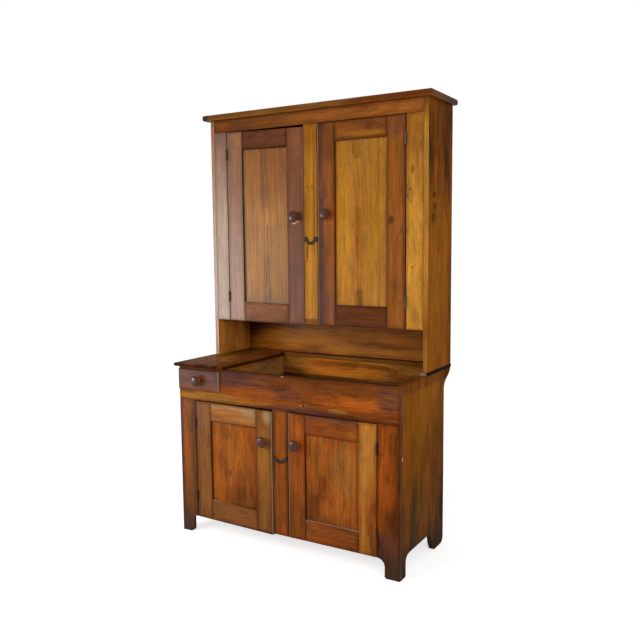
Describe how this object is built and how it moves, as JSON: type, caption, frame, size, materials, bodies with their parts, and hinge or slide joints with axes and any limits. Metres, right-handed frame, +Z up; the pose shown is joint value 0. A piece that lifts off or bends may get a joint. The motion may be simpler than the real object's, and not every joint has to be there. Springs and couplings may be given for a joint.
{
  "type": "dry sink cupboard",
  "caption": "Two-part step-back cupboard: panel doors above an open shelf, over a base with an open well, a small drawer, panel doors and cut-out feet.",
  "frame": {"origin": "middle of the footprint on the floor", "axes": "+X to the right seen from the front, +Y to the back, +Z up"},
  "size_m": [1.279, 0.646, 2.129],
  "materials": {
    "side_wood": "waxed",
    "cornice_wood": "waxed",
    "rail_wood": "waxed",
    "red_stile_wood": "waxed",
    "gold_stile_wood": "waxed",
    "mullion_wood": "waxed",
    "low_mullion_wood": "waxed",
    "dark_stile_wood": "waxed",
    "door_wood": "waxed",
    "panel_wood": "waxed",
    "low_panel_wood": "waxed",
    "front_wood": "waxed",
    "worktop_wood": "dark, glossy wax",
    "well_wood": "worn",
    "inside_wood": "bare",
    "drawer_wood": "waxed",
    "knob_wood": "dark, polished",
    "dark_iron": "blackened"
  },
  "bodies": {
    "case": {"lower_left_side": "side_wood", "lower_right_side": "side_wood", "lower_left_stile": "red_stile_wood", "lower_right_stile": "dark_stile_wood", "sink_front_board": "front_wood", "lower_mullion": "low_mullion_wood", "lower_bottom_board": "inside_wood", "lower_back": "inside_wood", "well_bottom": "well_wood", "well_left_wall": "well_wood", "well_right_wall": "well_wood", "well_back_wall": "well_wood", "worktop": "worktop_wood", "back_ledge": "worktop_wood", "upper_rest_strip": "worktop_wood", "upper_left_side": "side_wood", "upper_right_side": "side_wood", "upper_cornice": "cornice_wood", "upper_top_rail": "rail_wood", "upper_left_stile": "red_stile_wood", "upper_mullion": "mullion_wood", "upper_right_stile": "gold_stile_wood", "upper_bottom_board": "inside_wood", "upper_low_shelf": "inside_wood", "upper_high_shelf": "inside_wood", "upper_back": "inside_wood", "shelf_back": "well_wood", "upper_left_high_hinge": "dark_iron", "upper_left_low_hinge": "dark_iron", "upper_right_high_hinge": "dark_iron", "upper_right_low_hinge": "dark_iron", "lower_left_high_hinge": "dark_iron", "lower_left_low_hinge": "dark_iron", "lower_right_high_hinge": "dark_iron", "lower_right_low_hinge": "dark_iron"},
    "upper_left_door": {"upper_left_door_frame": "door_wood", "upper_left_door_panel": "panel_wood", "upper_left_knob": "knob_wood"},
    "upper_right_door": {"upper_right_door_frame": "dark_stile_wood", "upper_right_door_panel": "panel_wood", "upper_right_knob": "knob_wood"},
    "lower_left_door": {"lower_left_door_frame": "door_wood", "lower_left_door_panel": "low_panel_wood", "lower_left_knob": "knob_wood"},
    "lower_right_door": {"lower_right_door_frame": "front_wood", "lower_right_door_panel": "low_panel_wood", "lower_right_knob": "knob_wood"},
    "upper_left_turn_button": {"upper_left_button": "dark_iron"},
    "upper_right_turn_button": {"upper_right_button": "dark_iron"},
    "lower_left_turn_button": {"lower_left_button": "dark_iron"},
    "lower_right_turn_button": {"lower_right_button": "dark_iron"},
    "drawer": {"drawer_front": "drawer_wood", "drawer_left_board": "inside_wood", "drawer_right_board": "inside_wood", "drawer_back_board": "inside_wood", "drawer_bottom": "inside_wood", "drawer_knob": "knob_wood"}
  },
  "joints": [
    {"name": "upper_left_door_hinge", "type": "hinge", "parent": "case", "child": "upper_left_door", "pos_m": [-0.504, 0.014, 1.55], "axis": [0, 0, -1], "range_deg": [0, 170]},
    {"name": "upper_right_door_hinge", "type": "hinge", "parent": "case", "child": "upper_right_door", "pos_m": [0.505, 0.014, 1.55], "axis": [0, 0, 1], "range_deg": [0, 170]},
    {"name": "lower_left_door_hinge", "type": "hinge", "parent": "case", "child": "lower_left_door", "pos_m": [-0.504, -0.282, 0.386], "axis": [0, 0, -1], "range_deg": [0, 170]},
    {"name": "lower_right_door_hinge", "type": "hinge", "parent": "case", "child": "lower_right_door", "pos_m": [0.505, -0.282, 0.386], "axis": [0, 0, 1], "range_deg": [0, 170]},
    {"name": "upper_left_button_turn", "type": "hinge", "parent": "case", "child": "upper_left_turn_button", "pos_m": [-0.0075, 0.019, 1.463], "axis": [0, -1, 0], "range_deg": [-38, 92]},
    {"name": "upper_right_button_turn", "type": "hinge", "parent": "case", "child": "upper_right_turn_button", "pos_m": [0.0085, 0.019, 1.463], "axis": [0, 1, 0], "range_deg": [-38, 92]},
    {"name": "lower_left_button_turn", "type": "hinge", "parent": "case", "child": "lower_left_turn_button", "pos_m": [-0.0075, -0.277, 0.445], "axis": [0, -1, 0], "range_deg": [-50, 70]},
    {"name": "lower_right_button_turn", "type": "hinge", "parent": "case", "child": "lower_right_turn_button", "pos_m": [0.0085, -0.277, 0.445], "axis": [0, 1, 0], "range_deg": [-50, 70]},
    {"name": "drawer_slide", "type": "slide", "parent": "case", "child": "drawer", "axis": [0, -1, 0], "range_m": [0, 0.36]}
  ]
}
